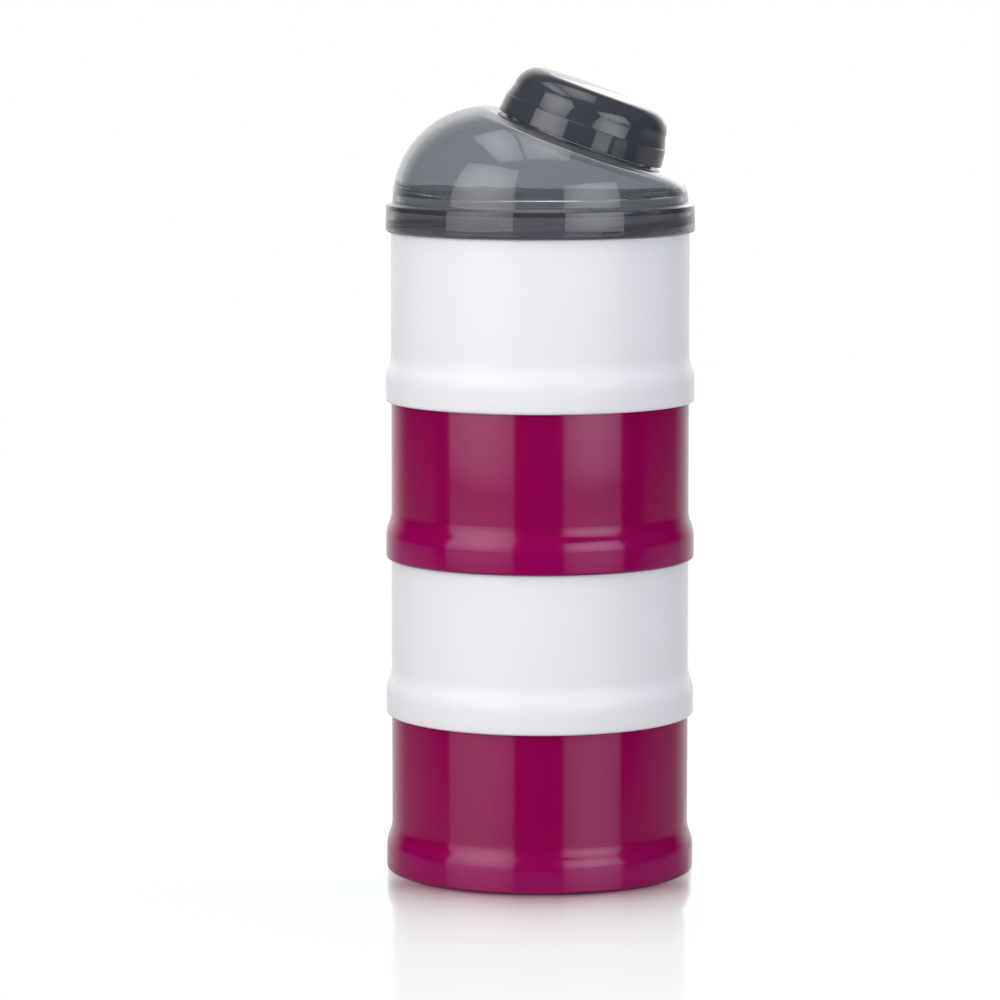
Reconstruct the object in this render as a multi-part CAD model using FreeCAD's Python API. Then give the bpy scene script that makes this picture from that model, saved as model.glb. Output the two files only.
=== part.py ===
"""Stackable formula dispenser: four alike cups that screw together, under a dome lid with a capped spout.

Millimetres, +Z up. The origin is on the resting plane, on the axis of the stack. The spout leans towards +X.
"""
import FreeCAD, Part
import math
import os

V = FreeCAD.Vector

# ---- the cup ----
CUP_COUNT = 4
CUP_PITCH = 40.8          # height that one cup adds to the stack
WALL_RADIUS = 38.6        # outside of the plain wall
COLLAR_STEP = 1.4         # how far the collar at the foot stands out from the wall
FLARE_START = 5.6         # height where the collar starts to run in to the wall
FLARE_HEIGHT = 7.0        # height of that S-shaped run
COLLAR_ROUND = 0.8        # rounding of the collar's lower edge
CUP_WALL = 1.6            # thickness of the plain wall
CUP_FLOOR = 1.6           # thickness of the floor
FLOOR_ROUND = 3.0         # rounding between floor and wall, inside
GUIDE_DEPTH = 3.4         # how deep the wall of the cup below stands in the collar

# ---- the neck and its thread ----
SHOULDER_WIDTH = 2.5      # step from the wall in to the neck
SHOULDER_ROUND = 0.6      # rounding of the shoulder's outer edge
NECK_HEIGHT = 8.0         # neck above the shoulder
NECK_WALL = 1.4
NECK_ROUND = 0.4          # rounding of the neck's top edges
THREAD_STARTS = 3
THREAD_LEAD = 12.0        # rise in one full turn
THREAD_DEPTH = 1.5        # how far a ridge stands out
RIDGE_ROOT = 2.0          # height of a ridge at its root
RIDGE_TIP = 0.9           # height of a ridge at its tip
OUTER_RIDGE_TURN = 100.0  # degrees that a ridge on the neck runs
INNER_RIDGE_TURN = 80.0   # degrees that a ridge in a collar runs
RIDGE_RUN_OUT = 12.0      # degrees over which a ridge fades at each end
RIDGE_GAP = 0.4           # play between a neck ridge and the collar ridge under it
RIDGE_PLAY = 0.1          # play between a ridge's root and the step below it
THREAD_CLEARANCE = 0.4    # radial play between a ridge and the face across from it

# ---- fits ----
GUIDE_CLEARANCE = 0.3     # collar round wall, and collar step above shoulder
SEAL_CLEARANCE = 0.3      # each side of a sealing ring
LIP_CLEARANCE = 0.3       # sealing lip inside the neck
CAP_CLEARANCE = 0.3       # cap round spout
SINK = 0.3                # how deep a ridge is let into the wall that carries it

# ---- sealing rings and the lip that keeps them in ----
SEAL_THICKNESS = 1.2
SEAL_WIDTH = 1.4
LIP_WALL = 1.2
LIP_REACH = 1.5           # how far the lip enters the neck

# ---- the lid ----
LID_RIM_HEIGHT = 7.1
LID_RIM_DRAFT = 0.15      # how much slimmer the rim is at its top
LID_RIM_ROUND = 0.9       # rounding of the rim's lower edge
LID_OVERLAP = 0.3         # how far the rim reaches below the shoulder of the cup
LEDGE_WIDTH = 1.65        # ledge on top of the rim
LEDGE_COVE = 0.9          # hollow rounding between ledge and dome
DOME_WALL = 0.7           # upright part of the dome above the ledge
DOME_LEVEL = 13.6         # radius of the level top, inside the crown's rounding
LID_WALL = 1.6
SEAT_DEPTH = 1.2          # how far the seat of the sealing ring stands in from the dome
SEAT_HEIGHT = 3.0

# ---- the flat, the spout and the cap, on an axis that leans towards +X ----
SPOUT_TILT = 20.0         # degrees from upright
SPOUT_OFFSET = 10.1       # the flat's centre from the stack's axis
FLAT_MARGIN = 0.5         # how far the flat's high edge stays outside the level top
FLAT_FOOT = 0.95          # how far the rounding round the flat stays off the dome's upright wall
SPOUT_WALL = 1.6
SPOUT_ROUND = 0.5         # rounding of the spout's rim
BEAD_DEPTH = 0.9          # ring round the spout that the cap snaps over
BEAD_START = 2.2          # the bead's lower edge above the flat
BEAD_WIDTH = 1.6
CAP_GAP = 0.5             # between the cap's lower edge and the flat
CAP_RADIUS = 22.25
CAP_HEIGHT = 13.9
CAP_BAND = 4.8            # height of the slightly wider band at the cap's foot
CAP_BAND_DRAFT = 0.5      # how much the band narrows towards its top
CAP_BAND_STEP = 0.2
CAP_DRAFT = 0.9           # how much the cap narrows between the band and its rounding
CAP_ROUND = 6.0
CAP_CROWN = 0.3           # how much the top swells
CAP_WALL = 1.5
CAP_LIP_HEIGHT = 1.2      # inner lip that snaps under the bead
CAP_LIP_DEPTH = 0.45
CAP_HEADROOM = 5.1        # from the spout's rim up to the cap's top
PLUG_WALL = 1.2
PLUG_REACH = 2.5          # how far the plug ring enters the spout

# ---- what follows from these ----
COLLAR_RADIUS = WALL_RADIUS + COLLAR_STEP
CUP_BORE = WALL_RADIUS - CUP_WALL
NECK_RADIUS = WALL_RADIUS - SHOULDER_WIDTH
NECK_BORE = NECK_RADIUS - NECK_WALL
SHOULDER_Z = CUP_PITCH + GUIDE_DEPTH
NECK_TOP_Z = SHOULDER_Z + NECK_HEIGHT
GUIDE_BORE = WALL_RADIUS + GUIDE_CLEARANCE
THREAD_BORE = NECK_RADIUS + THREAD_DEPTH + THREAD_CLEARANCE
SEAL_BORE = NECK_BORE + (NECK_WALL - SEAL_WIDTH) / 2
SEAL_RADIUS = SEAL_BORE + SEAL_WIDTH
SOCKET_RADIUS = max(NECK_RADIUS + THREAD_CLEARANCE, SEAL_RADIUS + SEAL_CLEARANCE)
LIP_RADIUS = min(NECK_BORE - LIP_CLEARANCE, SEAL_BORE - SEAL_CLEARANCE)
STEP_Z = SHOULDER_Z + GUIDE_CLEARANCE                    # the collar's step, above the shoulder
RIDGE_Z = SHOULDER_Z + RIDGE_PLAY + RIDGE_ROOT / 2       # where a neck ridge starts
RIDGE_TOP_Z = RIDGE_Z + THREAD_LEAD * OUTER_RIDGE_TURN / 360
THREAD_TOP_Z = RIDGE_TOP_Z + RIDGE_TIP / 2 + THREAD_CLEARANCE
CONE_TOP_Z = THREAD_TOP_Z + THREAD_BORE - SOCKET_RADIUS
SEAT_Z = NECK_TOP_Z + SEAL_THICKNESS                     # what the sealing ring presses against
FLANK_SLOPE = (RIDGE_ROOT - RIDGE_TIP) / (2 * THREAD_DEPTH)
RIDGE_SPACING = RIDGE_ROOT - FLANK_SLOPE * (THREAD_DEPTH + THREAD_CLEARANCE) + RIDGE_GAP
INNER_RIDGE_START = 360 * (GUIDE_CLEARANCE + RIDGE_SPACING) / THREAD_LEAD
SOCKET_DEPTH = SEAT_Z - CUP_PITCH                        # from the collar's edge up to the floor
FLOOR_Z = SOCKET_DEPTH + CUP_FLOOR
TOP_CUP_Z = (CUP_COUNT - 1) * CUP_PITCH
LID_RISE = SHOULDER_Z - LID_OVERLAP                      # from a cup's foot up to the foot of a lid on it
LID_Z = TOP_CUP_Z + LID_RISE
LID_SEAT = SEAT_Z - LID_RISE                             # from the lid's foot up to its seat
LEDGE_Z = LID_Z + LID_RIM_HEIGHT
DOME_RADIUS = COLLAR_RADIUS - LID_RIM_DRAFT - LEDGE_WIDTH
SEAT_RADIUS = DOME_RADIUS - LID_WALL - SEAT_DEPTH         # inner edge of the lid's seat
DOME_ROUND = DOME_RADIUS - DOME_LEVEL
DOME_HEIGHT = DOME_WALL + DOME_ROUND                     # above the ledge
TILT_SIN = math.sin(math.radians(SPOUT_TILT))
TILT_COS = math.cos(math.radians(SPOUT_TILT))
FLAT_DROP = (SPOUT_OFFSET + DOME_LEVEL + FLAT_MARGIN) * TILT_SIN / TILT_COS  # below the level top
FLAT_CENTRE = V(SPOUT_OFFSET, 0, LEDGE_Z + DOME_HEIGHT - FLAT_DROP)
TILT = FreeCAD.Rotation(V(0, 1, 0), SPOUT_TILT)
FLAT_REACH = (SPOUT_OFFSET - DOME_LEVEL) * TILT_SIN + (DOME_ROUND - FLAT_DROP) * TILT_COS
FLAT_FOOT_REACH = (DOME_ROUND - FLAT_REACH) * TILT_SIN / (1 - TILT_SIN)
FLAT_ROUND = FLAT_REACH - FLAT_FOOT_REACH - FLAT_FOOT
CAP_BAND_TOP = CAP_RADIUS - CAP_BAND_DRAFT
CAP_BORE = CAP_BAND_TOP - CAP_WALL
CAP_LIP_BORE = CAP_BORE - CAP_LIP_DEPTH
CAP_SHOULDER = CAP_BAND_TOP - CAP_BAND_STEP - CAP_DRAFT
CAP_SIDE_TOP = CAP_HEIGHT - CAP_CROWN - CAP_ROUND
CAP_ROOF = CAP_HEIGHT - CAP_CROWN - CAP_WALL
BEAD_RADIUS = CAP_LIP_BORE - CAP_CLEARANCE
SPOUT_RADIUS = BEAD_RADIUS - BEAD_DEPTH
SPOUT_BORE = SPOUT_RADIUS - SPOUT_WALL
SPOUT_HEIGHT = CAP_GAP + CAP_HEIGHT - CAP_HEADROOM       # above the flat
PLUG_RADIUS = SPOUT_BORE - CAP_CLEARANCE
PLUG_FOOT = SPOUT_HEIGHT - CAP_GAP - PLUG_REACH


# ---- outlines ----
class Outline:
    """A closed outline in the XZ plane, drawn edge by edge, for a solid of revolution."""

    def __init__(self, x, z):
        self.start = V(x, 0, z)
        self.end = self.start
        self.edges = []

    def line(self, x, z):
        """Draw a straight edge to x, z."""
        target = V(x, 0, z)
        if target.distanceToPoint(self.end) > 1e-6:
            self.edges.append(Part.LineSegment(self.end, target).toShape())
            self.end = target
        return self

    def arc(self, centre_x, centre_z, radius, first, last):
        """Draw a line to an arc's start, then the arc, between two angles in degrees from +X."""
        def at(angle):
            turn = math.radians(angle)
            return V(centre_x + radius * math.cos(turn), 0, centre_z + radius * math.sin(turn))
        self.line(at(first).x, at(first).z)
        self.edges.append(Part.Arc(self.end, at((first + last) / 2), at(last)).toShape())
        self.end = at(last)
        return self

    def revolve(self):
        """Close the outline and turn it about Z."""
        self.line(self.start.x, self.start.z)
        face = Part.Face(Part.Wire(self.edges))
        return face.revolve(V(0, 0, 0), V(0, 0, 1), 360)


# ---- threads ----
def ridge(root_radius, outward, start_z, start_turn, run):
    """One ridge of a thread: sections along a helix, which fade out at both ends."""
    count = 11
    sections = []
    for step in range(count):
        turn = run * step / (count - 1)
        fade = min(1.0, (turn + 1) / RIDGE_RUN_OUT, (run - turn + 1) / RIDGE_RUN_OUT)
        middle = start_z + THREAD_LEAD * turn / 360
        sections.append(ridge_section(root_radius, outward, middle, start_turn + turn, fade))
    return Part.makeLoft(sections, True)


def ridge_section(root_radius, outward, middle, turn, fade):
    """A ridge's section: a trapezium whose root is let into the wall."""
    sunk = root_radius - outward * SINK
    tip = root_radius + outward * THREAD_DEPTH * fade
    tip_half = RIDGE_TIP / 2
    root_half = tip_half + FLANK_SLOPE * THREAD_DEPTH * fade
    corners = [V(sunk, 0, middle - root_half), V(root_radius, 0, middle - root_half),
               V(tip, 0, middle - tip_half), V(tip, 0, middle + tip_half),
               V(root_radius, 0, middle + root_half), V(sunk, 0, middle + root_half)]
    section = Part.makePolygon(corners + corners[:1])
    section.rotate(V(0, 0, 0), V(0, 0, 1), turn)
    return section


def neck_ridges():
    """The thread outside a cup's neck."""
    return [ridge(NECK_RADIUS, 1, RIDGE_Z, 360 * start / THREAD_STARTS, OUTER_RIDGE_TURN)
            for start in range(THREAD_STARTS)]


def mouth_ridges(drop):
    """The thread inside a collar or lid rim, seen from a piece that starts drop above the cup's foot."""
    first_z = STEP_Z + RIDGE_PLAY + RIDGE_ROOT / 2 - drop
    return [ridge(THREAD_BORE, -1, first_z, 360 * start / THREAD_STARTS + INNER_RIDGE_START,
                  INNER_RIDGE_TURN)
            for start in range(THREAD_STARTS)]


# ---- the cup ----
def flare(outline):
    """The S-shaped run from the collar in to the wall: two arcs that meet halfway."""
    radius = (FLARE_HEIGHT ** 2 + COLLAR_STEP ** 2) / (4 * COLLAR_STEP)
    turn = math.degrees(math.asin(FLARE_HEIGHT / 2 / radius))
    outline.arc(COLLAR_RADIUS - radius, FLARE_START, radius, 0, turn)
    outline.arc(WALL_RADIUS + radius, FLARE_START + FLARE_HEIGHT, radius, 180 + turn, 180)


def cup_body():
    """The outside of a cup, filled."""
    body = Outline(0, 0)
    body.arc(COLLAR_RADIUS - COLLAR_ROUND, COLLAR_ROUND, COLLAR_ROUND, -90, 0)
    flare(body)
    body.arc(WALL_RADIUS - SHOULDER_ROUND, SHOULDER_Z - SHOULDER_ROUND, SHOULDER_ROUND, 0, 90)
    body.line(NECK_RADIUS, SHOULDER_Z)
    body.arc(NECK_RADIUS - NECK_ROUND, NECK_TOP_Z - NECK_ROUND, NECK_ROUND, 0, 90)
    body.line(0, NECK_TOP_Z)
    return body.revolve()


def cup_hollow():
    """The room for powder in a cup."""
    hollow = Outline(0, FLOOR_Z)
    hollow.arc(CUP_BORE - FLOOR_ROUND, FLOOR_Z + FLOOR_ROUND, FLOOR_ROUND, -90, 0)
    hollow.line(CUP_BORE, SHOULDER_Z - CUP_WALL - (CUP_BORE - NECK_BORE))
    hollow.line(NECK_BORE, SHOULDER_Z - CUP_WALL)
    hollow.line(NECK_BORE, NECK_TOP_Z)
    hollow.line(0, NECK_TOP_Z)
    return hollow.revolve()


def mouth(outline, drop):
    """The inside of a collar or lid rim from its edge up to the seat of the sealing ring."""
    outline.line(GUIDE_BORE, -1)
    outline.line(GUIDE_BORE, STEP_Z - drop)
    outline.line(THREAD_BORE, STEP_Z - drop)
    outline.line(THREAD_BORE, THREAD_TOP_Z - drop)
    outline.line(SOCKET_RADIUS, CONE_TOP_Z - drop)
    outline.line(SOCKET_RADIUS, SEAT_Z - drop)


def cup_socket():
    """The hollow under a cup's floor, which takes the neck of the cup below."""
    socket = Outline(0, -1)
    mouth(socket, CUP_PITCH)
    socket.line(0, SOCKET_DEPTH)
    return socket.revolve()


def lip_ring():
    """The lip under the floor, which keeps the sealing ring in and enters the neck below."""
    foot = NECK_TOP_Z - CUP_PITCH - LIP_REACH
    ring = Outline(LIP_RADIUS, SOCKET_DEPTH)
    ring.line(LIP_RADIUS, foot)
    ring.line(LIP_RADIUS - LIP_WALL, foot)
    ring.line(LIP_RADIUS - LIP_WALL, SOCKET_DEPTH)
    return ring.revolve()


def make_cup():
    """One cup, standing on its collar."""
    cup = cup_body().cut([cup_hollow(), cup_socket()])
    return cup.fuse([lip_ring()] + neck_ridges() + mouth_ridges(CUP_PITCH)).removeSplitter()


# ---- sealing rings ----
def make_seal():
    """One flat sealing ring, its lower face at z = 0."""
    seal = Outline(SEAL_BORE, 0)
    seal.line(SEAL_RADIUS, 0)
    seal.line(SEAL_RADIUS, SEAL_THICKNESS)
    seal.line(SEAL_BORE, SEAL_THICKNESS)
    return seal.revolve()


# ---- the lid ----
def on_flat(shape, height):
    """Move a shape that was drawn upright on to the spout's axis, height above the flat."""
    shape.Placement = FreeCAD.Placement(FLAT_CENTRE + TILT.multVec(V(0, 0, height)), TILT)
    return shape


def trim_flat(shape, depth, rounding):
    """Cut a shape off along the flat, or depth below it, and round the new edge."""
    side = 4 * COLLAR_RADIUS
    block = Part.makeBox(side, side, side, V(-side / 2, -side / 2, 0))
    trimmed = shape.cut(on_flat(block, -depth))
    normal = TILT.multVec(V(0, 0, 1))
    flat = max((face for face in trimmed.Faces if lies_on_flat(face, normal)), key=lambda face: face.Area)
    return trimmed.makeFillet(rounding, flat.OuterWire.Edges)


def lies_on_flat(face, normal):
    """True for a plane face that looks along the spout's axis."""
    return isinstance(face.Surface, Part.Plane) and face.normalAt(0, 0).dot(normal) > 0.999


def dome_outline(outline, radius, rounding, top_z):
    """The crown: an upright wall that a large arc turns into the level top."""
    outline.arc(radius - rounding, top_z - rounding, rounding, 0, 90)
    outline.line(0, top_z)


def lid_body():
    """The outside of the lid without the spout, filled."""
    rim_top = COLLAR_RADIUS - LID_RIM_DRAFT
    body = Outline(0, 0)
    body.arc(COLLAR_RADIUS - LID_RIM_ROUND, LID_RIM_ROUND, LID_RIM_ROUND, -90, 0)
    body.line(rim_top, LID_RIM_HEIGHT)
    body.arc(DOME_RADIUS + LEDGE_COVE, LID_RIM_HEIGHT + LEDGE_COVE, LEDGE_COVE, 270, 180)
    dome_outline(body, DOME_RADIUS, DOME_ROUND, LID_RIM_HEIGHT + DOME_HEIGHT)
    solid = body.revolve()
    solid.translate(V(0, 0, LID_Z))
    return trim_flat(solid, 0, FLAT_ROUND)


def lid_mouth():
    """The thread's room in the lid, up to the seat of the sealing ring."""
    room = Outline(0, -1)
    mouth(room, LID_RISE)
    room.line(SEAT_RADIUS, LID_SEAT)
    room.line(0, LID_SEAT)
    solid = room.revolve()
    solid.translate(V(0, 0, LID_Z))
    return solid


def lid_crown():
    """The room under the dome and the flat, from the seat of the sealing ring up."""
    inner_radius = DOME_RADIUS - LID_WALL
    top_z = LID_RIM_HEIGHT + DOME_HEIGHT
    dome = Outline(0, 0)
    dome.line(inner_radius, 0)
    dome_outline(dome, inner_radius, DOME_ROUND - LID_WALL, top_z - LID_WALL)
    under_dome = dome.revolve()
    under_dome.translate(V(0, 0, LID_Z))
    funnel = Outline(0, LID_SEAT)
    funnel.line(SEAT_RADIUS, LID_SEAT)
    funnel.line(inner_radius, LID_SEAT + SEAT_HEIGHT)
    funnel.line(inner_radius, top_z)
    funnel.line(0, top_z)
    above_seat = funnel.revolve()
    above_seat.translate(V(0, 0, LID_Z))
    return trim_flat(under_dome, LID_WALL, FLAT_ROUND - LID_WALL).common(above_seat)


def spout_tube():
    """The spout, from inside the flat's wall up, with its snap bead."""
    tube = Outline(0, -LID_WALL)
    tube.line(SPOUT_RADIUS, -LID_WALL)
    tube.line(SPOUT_RADIUS, BEAD_START)
    tube.line(BEAD_RADIUS, BEAD_START + 0.4 * BEAD_WIDTH)
    tube.line(BEAD_RADIUS, BEAD_START + 0.6 * BEAD_WIDTH)
    tube.line(SPOUT_RADIUS, BEAD_START + BEAD_WIDTH)
    tube.arc(SPOUT_RADIUS - SPOUT_ROUND, SPOUT_HEIGHT - SPOUT_ROUND, SPOUT_ROUND, 0, 90)
    tube.line(0, SPOUT_HEIGHT)
    return on_flat(tube.revolve(), 0)


def make_lid():
    """The dome lid in its place on the stack."""
    bore = Part.makeCylinder(SPOUT_BORE, 3 * SPOUT_HEIGHT + LID_WALL, V(0, 0, 0))
    lid = lid_body().cut([lid_mouth(), lid_crown()]).fuse(spout_tube())
    lid = lid.cut(on_flat(bore, -SPOUT_HEIGHT))
    ridges = mouth_ridges(LID_RISE)
    for one in ridges:
        one.translate(V(0, 0, LID_Z))
    return lid.fuse(ridges).removeSplitter()


# ---- the cap ----
def cap_body():
    """The outside of the cap, filled, its lower edge at z = 0."""
    flat_radius = CAP_SHOULDER - CAP_ROUND
    crown_radius = (flat_radius ** 2 + CAP_CROWN ** 2) / (2 * CAP_CROWN)
    crown_turn = math.degrees(math.asin(flat_radius / crown_radius))
    body = Outline(0, 0)
    body.line(CAP_RADIUS, 0)
    body.line(CAP_BAND_TOP, CAP_BAND)
    body.line(CAP_BAND_TOP - CAP_BAND_STEP, CAP_BAND)
    body.arc(flat_radius, CAP_SIDE_TOP, CAP_ROUND, 0, 90)
    body.arc(0, CAP_HEIGHT - crown_radius, crown_radius, 90 - crown_turn, 90)
    return body.revolve()


def cap_hollow():
    """The inside of the cap, with the lip that snaps under the spout's bead."""
    hollow = Outline(0, -1)
    hollow.line(CAP_LIP_BORE, -1)
    hollow.line(CAP_LIP_BORE, CAP_LIP_HEIGHT)
    hollow.line(CAP_BORE, CAP_LIP_HEIGHT + CAP_LIP_DEPTH)
    hollow.line(CAP_BORE, CAP_BAND - CAP_WALL / 2)
    hollow.arc(CAP_SHOULDER - CAP_ROUND, CAP_SIDE_TOP, CAP_ROUND - CAP_WALL, 0, 90)
    hollow.line(0, CAP_ROOF)
    return hollow.revolve()


def cap_plug():
    """The ring inside the cap that enters the spout."""
    into_roof = CAP_ROOF + CAP_WALL / 2
    plug = Outline(PLUG_RADIUS, PLUG_FOOT)
    plug.line(PLUG_RADIUS - PLUG_WALL, PLUG_FOOT)
    plug.line(PLUG_RADIUS - PLUG_WALL, into_roof)
    plug.line(PLUG_RADIUS - PLUG_WALL / 2, into_roof)
    plug.line(PLUG_RADIUS, CAP_ROOF - CAP_WALL)
    return plug.revolve()


def make_cap():
    """The cap in its place on the spout."""
    cap = cap_body().cut(cap_hollow()).fuse(cap_plug()).removeSplitter()
    return on_flat(cap, CAP_GAP)


# ---- the assembly ----
def placed(shape, z):
    """A copy of a shape, lifted by z."""
    copy = shape.copy()
    copy.translate(V(0, 0, z))
    return copy


def make_pieces():
    """Every piece by its name, in its place."""
    cup = make_cup()
    seal = make_seal()
    pieces = {"spout_cap": make_cap(), "lid_dome": make_lid()}
    pieces["lid_seal"] = placed(seal, TOP_CUP_Z + NECK_TOP_Z)
    for number in range(1, CUP_COUNT + 1):
        foot_z = (CUP_COUNT - number) * CUP_PITCH
        pieces[f"cup_{number}"] = placed(cup, foot_z)
        pieces[f"seal_{number}"] = placed(seal, foot_z + SOCKET_DEPTH - SEAL_THICKNESS)
    return pieces


def main():
    """Write one STEP file per piece."""
    os.makedirs("parts", exist_ok=True)
    for name, shape in make_pieces().items():
        print(name, "valid", shape.isValid(), "solids", len(shape.Solids), "volume", round(shape.Volume))
        shape.exportStep(f"parts/{name}.step")


main()
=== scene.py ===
"""Stackable formula dispenser: glossy cups screwed together under a smoky lid with a capped spout.

The object's sizes are millimetres and turn into metres where a mesh is made. The studio's sizes are
metres. +Z is up, the stack's axis is the Z axis, and the spout leans towards +X.
"""
import math

import bmesh
import bpy
from mathutils import Matrix, Vector


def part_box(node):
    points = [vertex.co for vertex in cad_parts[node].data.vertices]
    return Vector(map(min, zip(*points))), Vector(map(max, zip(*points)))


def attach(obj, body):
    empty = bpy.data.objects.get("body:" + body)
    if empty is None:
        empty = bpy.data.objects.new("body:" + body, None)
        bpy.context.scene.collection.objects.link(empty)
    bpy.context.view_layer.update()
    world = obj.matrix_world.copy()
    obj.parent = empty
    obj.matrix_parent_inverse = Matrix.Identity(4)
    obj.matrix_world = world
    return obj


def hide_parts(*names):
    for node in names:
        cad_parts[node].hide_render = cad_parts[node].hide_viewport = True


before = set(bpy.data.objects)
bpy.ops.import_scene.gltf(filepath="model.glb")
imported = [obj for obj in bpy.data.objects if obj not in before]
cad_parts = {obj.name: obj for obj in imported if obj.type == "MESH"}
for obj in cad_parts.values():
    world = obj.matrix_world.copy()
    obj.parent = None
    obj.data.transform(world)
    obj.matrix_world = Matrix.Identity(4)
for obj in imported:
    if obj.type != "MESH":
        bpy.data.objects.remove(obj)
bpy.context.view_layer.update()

MM = 0.001

# ---- the meshes ----
COLUMNS = 192             # facets round the stack
ROUNDING_STEPS = 12       # facets along the rounding between flat and dome
DOME_STEPS = 24           # facets down the dome
SHARP_ANGLE = 34          # degrees; a sharper edge stays sharp
SAME_PLACE = 1e-7         # metres; corners nearer than this are merged

# ---- the cup, as the CAD has it ----
CUPS = 4
CUP_PITCH = 40.8
WALL_RADIUS = 38.6
COLLAR_RADIUS = 40.0
COLLAR_ROUND = 0.8
FLARE_START = 5.6
FLARE_HEIGHT = 7.0
CUP_BORE = 37.0
BORE_TAPER = (3.9, 1.6)   # below the shoulder the bore narrows to the neck's between these depths
FLOOR_TOP = 14.2
FLOOR_UNDER = 12.6
FLOOR_ROUND = 3.0
SHOULDER = 44.2
SHOULDER_ROUND = 0.6
NECK_RADIUS = 36.1
NECK_BORE = 34.7
NECK_TOP = 52.2
NECK_ROUND = 0.4
NECK_COVE = 0.3
GUIDE_BORE = 38.9
GUIDE_CHAMFER = (0.2, 0.25)                      # outward and upward, at the collar's mouth
THREAD_BORE = 38.0
SOCKET_RADIUS = 36.5
STEP = 44.5               # the collar's step, measured on the cup below
THREAD_TOP = 49.48
CONE_TOP = 50.98
SEAT = 53.4
LIP_RADIUS = 34.4
LIP_WALL = 1.2
LIP_FOOT = 9.9
LIP_CHAMFER = 0.3

# ---- the thread ----
STARTS = 3
LEAD = 12.0
RIDGE_DEPTH = 1.5
RIDGE_ROOT = 2.0
RIDGE_TIP = 0.9
RIDGE_SINK = 0.3
RIDGE_STEPS = 36          # facets along a ridge
RUN_OUT = 12.0            # degrees over which a ridge fades at each end
RUN_OUT_LEAST = 0.06      # the share of its depth that a ridge keeps at its end
NECK_RIDGE_START = 45.3   # height above the cup's foot
NECK_RIDGE_RUN = 100      # degrees
INNER_RIDGE_START = 45.6  # height above the foot of the cup below
INNER_RIDGE_TURN = 60.1   # degrees round from the neck's ridges
INNER_RIDGE_RUN = 80      # degrees

# ---- the sealing rings ----
SEAL_BORE = 34.7
SEAL_RADIUS = 36.1
SEAL_HEIGHT = 1.2
SEAL_ROUND = 0.25

# ---- the lid, the spout and the cap ----
LID_FOOT = 166.3
RIM_HEIGHT = 7.1
RIM_TOP_RADIUS = 39.85
RIM_TOP_ROUND = 0.3
RIM_ROUND = 0.9
DOME_RADIUS = 38.2
LEDGE_COVE = 0.9
DOME_ROUND = 24.6
DOME_HEIGHT = 25.3
LID_WALL = 1.6
SEAT_DEPTH = 1.2
SEAT_HEIGHT = 3.0
SEAT_CHAMFER = 0.2
SPOUT_TILT = 20.0
SPOUT_OFFSET = 10.1
FLAT_DROP = 8.808
FLAT_ROUND = 6.997
SPOUT_RADIUS = 18.6
SPOUT_BORE = 17.0
SPOUT_HEIGHT = 9.3
SPOUT_ROUND = 0.5
BEAD_RADIUS = 19.5
BEAD_START = 2.2
BEAD_WIDTH = 1.6
CAP_GAP = 0.5
CAP_RADIUS = 22.25
CAP_HEIGHT = 13.9
CAP_BAND = 4.8
CAP_BAND_TOP = 21.75
CAP_STEP = 0.2
CAP_SHOULDER = 20.65
CAP_ROUND = 6.0
CAP_CROWN = 0.3
CAP_EDGE = 0.15
CAP_BAND_EDGE = 0.1
CAP_WALL = 1.5
CAP_LIP_BORE = 19.8
CAP_LIP_HEIGHT = 1.2
PLUG_RADIUS = 16.7
PLUG_WALL = 1.2
PLUG_FOOT = 6.3
PLUG_ROOT = 0.5

LID_RISE = 43.9           # from a cup's foot up to the foot of a lid on it
LID_SEAT = LID_FOOT + SEAT - LID_RISE
LID_SEAT_BORE = DOME_RADIUS - LID_WALL - SEAT_DEPTH
LEDGE = LID_FOOT + RIM_HEIGHT
DOME_TOP = LEDGE + DOME_HEIGHT
CROWN_RADIUS = DOME_RADIUS - DOME_ROUND          # the crown's arc is centred on this ring
CROWN_HEIGHT = DOME_TOP - DOME_ROUND
LEAN = Matrix.Rotation(math.radians(SPOUT_TILT), 3, "Y")
SPOUT_AXIS = LEAN @ Vector((0, 0, 1))
FLAT_CENTRE = Vector((SPOUT_OFFSET, 0, DOME_TOP - FLAT_DROP))

# ---- the plastics; a face is roughness, its spread, and the moulding waves' size and height ----
WHITE = (0.775, 0.767, 0.803)
WHITE_SPECULAR = 0.14
MAGENTA = (0.243, 0.0004, 0.063)
# painted light: the magenta collars and flares get a brighter, more violet colour that stands in
# for light through the thicker plastic and on the upward flare
MAGENTA_COLLAR_PAINTED_LIGHT = (0.262, 0.0004, 0.082)
MAGENTA_GLOSS = (1.0, 0.8, 0.97, 1)
SMOKY = (0.45, 0.47, 0.507)
# the lid's rim is coloured darker, partly for its thicker plastic and partly as painted shade of
# the dark space inside the rim
SMOKY_THICK_RIM_AND_SHADE = (0.30, 0.30, 0.335)
SMOKY_CLEAR = 0.9
DEEP_SMOKY = (0.066, 0.07, 0.088)
DEEP_SMOKY_CLEAR = 0.3
SILICONE = (0.62, 0.62, 0.63)
CUP_FACE = (0.10, 0.04, 60.0, 0.00003)
LID_FACE = (0.04, 0.01, 40.0, 0.00002)
CAP_FACE = (0.05, 0.02, 40.0, 0.00002)
SILICONE_FACE = (0.35, 0.1, 200.0, 0.00002)
PLASTIC_IOR = 1.5
SMOKY_IOR = 1.57
GRAIN_SIZE = 900.0
PAINTED_COLLAR_MARGIN = (0.3, 0.1)  # the collars' painted light and shade starts this far off the wall and is full near its face

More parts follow.
